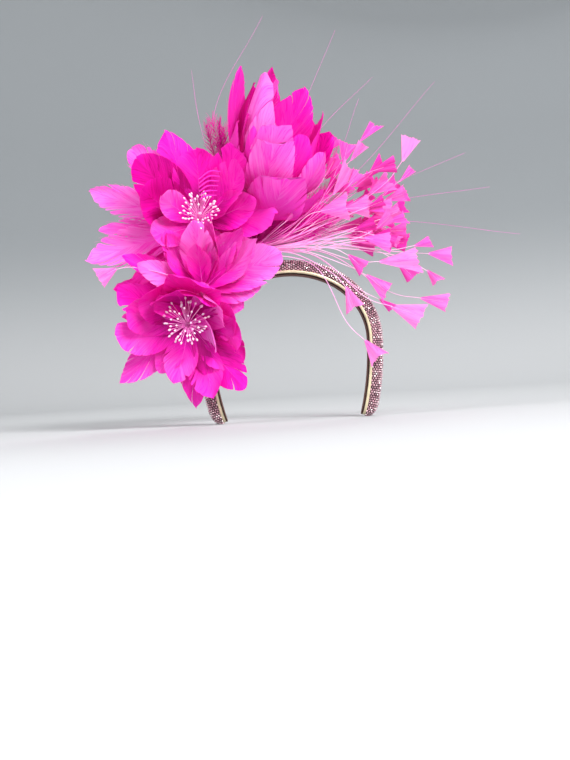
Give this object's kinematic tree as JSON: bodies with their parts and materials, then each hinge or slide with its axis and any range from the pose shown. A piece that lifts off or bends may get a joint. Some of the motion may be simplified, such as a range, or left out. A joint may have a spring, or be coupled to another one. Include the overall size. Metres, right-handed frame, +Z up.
{
  "type": "rhinestone fascinator headband",
  "caption": "Padded headband covered in rhinestones, carrying pink feather flowers with stamens, leaf feathers, hackles and a spray of trimmed arrow feathers to one side",
  "frame": {"origin": "The inner face of the headband at its crown, half way across its width, where it rests on the top of the head.", "axes": "+Z is up when worn, +X is the wearer's left, which is the picture's right, and -Y is the wearer's front. The arch of the band lies in the XZ plane."},
  "size_m": [0.436, 0.1669, 0.4154],
  "materials": {
    "rhinestone_mesh": "faceted dusty-rose stones set close in a dark mesh over padding",
    "champagne_strip": "champagne coated leatherette edge with a soft sheen",
    "brown_lining": "matt dark brown velvet ribbon",
    "pink_felt": "matt pink felt",
    "pink_feather": "trimmed goose feather with a soft silky sheen and fine barbs",
    "pale_feather": "stripped and trimmed coque feather, paler pink",
    "stamen_pip": "pale pearly pips on fine pink thread"
  },
  "bodies": {
    "root": {"band_padding": "rhinestone_mesh", "band_strip": "champagne_strip", "band_lining": "brown_lining", "felt_base": "pink_felt", "flower_low": "pink_feather", "flower_middle": "pink_feather", "flower_top": "pink_feather", "leaf_fan": "pink_feather", "hackle_fringe": "pink_feather", "stamens_low": "stamen_pip", "stamens_middle": "stamen_pip", "arrow_spray": "pale_feather", "fine_strands": "pale_feather"}
  },
  "joints": []
}
